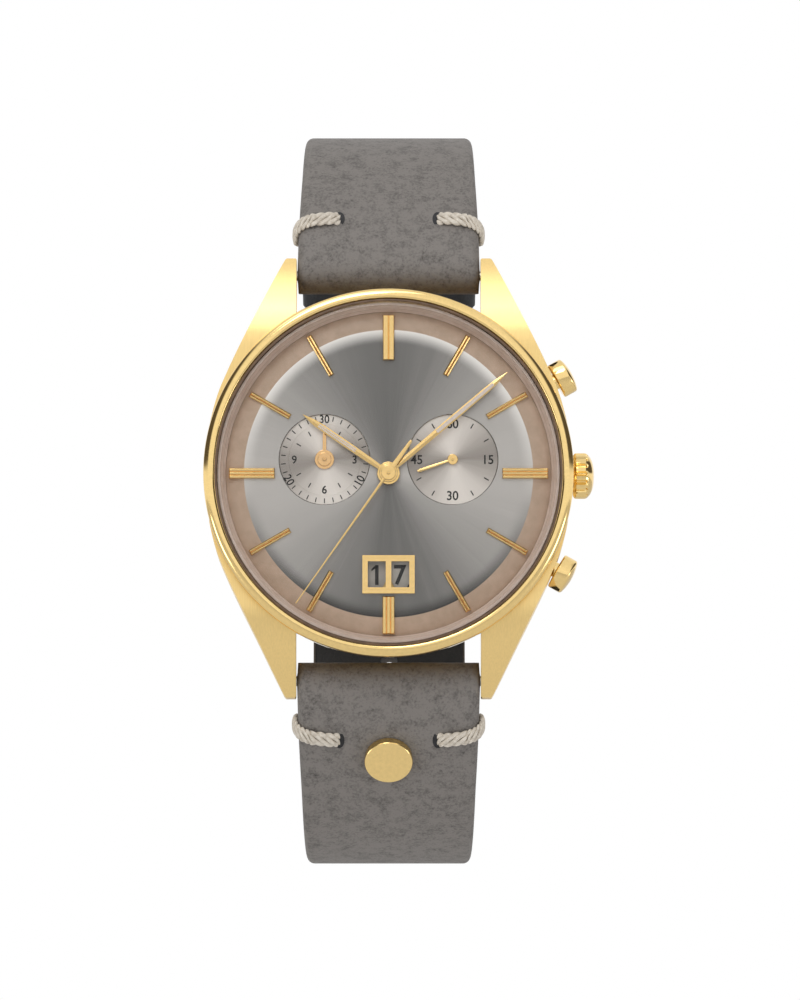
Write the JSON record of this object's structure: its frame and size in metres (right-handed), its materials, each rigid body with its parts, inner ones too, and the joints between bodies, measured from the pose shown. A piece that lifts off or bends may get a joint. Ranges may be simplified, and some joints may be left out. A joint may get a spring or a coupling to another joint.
{
  "type": "chronograph wristwatch",
  "caption": "Round gold-coloured chronograph wristwatch with grey dial, side counters, big date, crown and pushers, on an unfastened leather strap with a tongue buckle.",
  "frame": {"origin": "centre of the case back's flat outer face", "axes": "+Z towards 12 o'clock, +X towards the crown at 3 o'clock, +Y into the wrist out of the case back, so the dial faces -Y"},
  "size_m": [0.0444, 0.0703, 0.0848],
  "materials": {
    "polished_gold": "gold-coloured plating, polished",
    "brushed_gold": "gold-coloured plating, brushed",
    "steel": "bare steel",
    "brass": "fine brushed",
    "copper_wire": "enamelled wire",
    "board": "green circuit board",
    "dial_grey": "sunray grey with pale counters",
    "flange_beige": "satin",
    "date_disc": "matt warm grey",
    "crystal": "clear domed",
    "rubber": "black",
    "plastic": "natural",
    "leather": "grey, fine grain",
    "lining": "near black, smooth",
    "thread": "waxed braid"
  },
  "bodies": {
    "case": {"battery": "steel", "battery_clip": "steel", "bezel": "polished_gold", "case_back": "steel", "case_back_gasket": "rubber", "case_middle": "brushed_gold", "circuit_board": "board", "crown_tube": "steel", "crystal": "crystal", "crystal_gasket": "plastic", "date_frame": "polished_gold", "dial": "dial_grey", "dial_flange": "flange_beige", "drive_coil": "copper_wire", "lower_spring_bar": "steel", "main_plate": "brass", "marker_12": "polished_gold", "marker_3": "polished_gold", "marker_6": "polished_gold", "marker_9": "polished_gold", "movement_ring": "plastic", "reset_pusher_spring": "steel", "reset_pusher_tube": "polished_gold", "start_pusher_spring": "steel", "start_pusher_tube": "polished_gold", "train_bridge": "steel", "upper_spring_bar": "steel"},
    "stem_slide": {"setting_lever": "steel"},
    "crown": {"crown": "polished_gold", "winding_stem": "steel"},
    "start_button": {"start_pusher": "polished_gold"},
    "reset_button": {"reset_pusher": "polished_gold"},
    "seconds": {"small_seconds_hand": "polished_gold", "seconds_wheel": "brass"},
    "rotor": {"stepper_rotor": "steel"},
    "third": {"third_wheel": "brass"},
    "minutes": {"minute_hand": "polished_gold", "center_wheel": "brass"},
    "hours": {"hour_hand": "polished_gold", "hour_wheel": "brass"},
    "chrono_seconds": {"chrono_seconds_hand": "polished_gold", "chrono_wheel": "brass"},
    "minute_counter": {"minute_counter_hand": "polished_gold"},
    "hour_counter": {"hour_counter_hand": "polished_gold"},
    "date_units": {"date_units_disc": "date_disc"},
    "date_tens": {"date_tens_disc": "date_disc"},
    "upper_half": {"upper_strap": "leather", "upper_lining": "lining", "upper_left_thread": "thread", "upper_right_thread": "thread", "fixed_keeper": "leather"},
    "lower_half": {"lower_strap": "leather", "lower_lining": "lining", "lower_left_thread": "thread", "lower_right_thread": "thread", "strap_stud": "polished_gold"},
    "buckle": {"buckle_frame": "polished_gold", "buckle_bar": "steel"},
    "tongue": {"buckle_tongue": "polished_gold"},
    "keeper": {"free_keeper": "leather"}
  },
  "joints": [
    {"name": "crown_pull", "type": "slide", "parent": "case", "child": "stem_slide", "axis": [1, 0, 0], "range_m": [0, 0.0015]},
    {"name": "crown_turn", "type": "hinge", "parent": "stem_slide", "child": "crown", "pos_m": [0.02, -0.0045, 0], "axis": [1, 0, 0], "continuous": true},
    {"name": "start_press", "type": "slide", "parent": "case", "child": "start_button", "axis": [-0.8704, 0, -0.4924], "range_m": [0, 0.0006], "stiffness_N_per_m": 1500, "springref_m": -0.0004, "deforming": ["start_pusher_spring"]},
    {"name": "reset_press", "type": "slide", "parent": "case", "child": "reset_button", "axis": [-0.8704, 0, 0.4924], "range_m": [0, 0.0006], "stiffness_N_per_m": 1500, "springref_m": -0.0004, "deforming": ["reset_pusher_spring"]},
    {"name": "seconds_turn", "type": "hinge", "parent": "case", "child": "seconds", "pos_m": [0.00727, -0.0075, 0.0016], "axis": [0, 1, 0], "continuous": true},
    {"name": "rotor_turn", "type": "hinge", "parent": "case", "child": "rotor", "pos_m": [0.0086, -0.0075, -0.00109], "axis": [0, 1, 0], "continuous": true},
    {"name": "third_turn", "type": "hinge", "parent": "case", "child": "third", "pos_m": [0.0039, -0.0075, 0.0033], "axis": [0, 1, 0], "continuous": true},
    {"name": "minute_turn", "type": "hinge", "parent": "case", "child": "minutes", "pos_m": [0, -0.0075, 0], "axis": [0, 1, 0], "continuous": true},
    {"name": "hour_turn", "type": "hinge", "parent": "case", "child": "hours", "pos_m": [0, -0.0075, 0], "axis": [0, 1, 0], "continuous": true},
    {"name": "chrono_turn", "type": "hinge", "parent": "case", "child": "chrono_seconds", "pos_m": [0, -0.0075, 0], "axis": [0, 1, 0], "continuous": true},
    {"name": "minute_counter_turn", "type": "hinge", "parent": "case", "child": "minute_counter", "pos_m": [-0.00727, -0.0075, 0.0016], "axis": [0, 1, 0], "continuous": true},
    {"name": "hour_counter_turn", "type": "hinge", "parent": "case", "child": "hour_counter", "pos_m": [-0.00727, -0.0075, 0.0016], "axis": [0, 1, 0], "continuous": true},
    {"name": "date_units_turn", "type": "hinge", "parent": "case", "child": "date_units", "pos_m": [0.0052, -0.0075, -0.0099], "axis": [0, 1, 0], "continuous": true},
    {"name": "date_tens_turn", "type": "hinge", "parent": "case", "child": "date_tens", "pos_m": [-0.0052, -0.0075, -0.0099], "axis": [0, 1, 0], "continuous": true},
    {"name": "upper_strap_swing", "type": "hinge", "parent": "case", "child": "upper_half", "pos_m": [0, -0.0023, 0.0232], "axis": [1, 0, 0], "range_deg": [-5, 40]},
    {"name": "lower_strap_swing", "type": "hinge", "parent": "case", "child": "lower_half", "pos_m": [0, -0.0023, -0.0232], "axis": [-1, 0, 0], "range_deg": [-5, 40]},
    {"name": "buckle_swing", "type": "hinge", "parent": "upper_half", "child": "buckle", "pos_m": [0, 0.04443, 0.00707], "axis": [1, 0, 0], "range_deg": [-20, 30]},
    {"name": "tongue_swing", "type": "hinge", "parent": "buckle", "child": "tongue", "pos_m": [0, 0.04443, 0.00707], "axis": [1, 0, 0], "range_deg": [0, 50]},
    {"name": "keeper_slide", "type": "slide", "parent": "upper_half", "child": "keeper", "axis": [0, 0.3978, -0.9175], "range_m": [-0.002, 0.002]}
  ],
  "couplings": [
    {"joint": "rotor_turn", "follows": "seconds_turn", "ratio": -6.8421},
    {"joint": "third_turn", "follows": "seconds_turn", "ratio": -0.125},
    {"joint": "minute_turn", "follows": "seconds_turn", "ratio": 0.016667},
    {"joint": "hour_turn", "follows": "seconds_turn", "ratio": 0.0013889},
    {"joint": "minute_counter_turn", "follows": "chrono_turn", "ratio": 0.033333},
    {"joint": "hour_counter_turn", "follows": "chrono_turn", "ratio": 0.0013889}
  ]
}
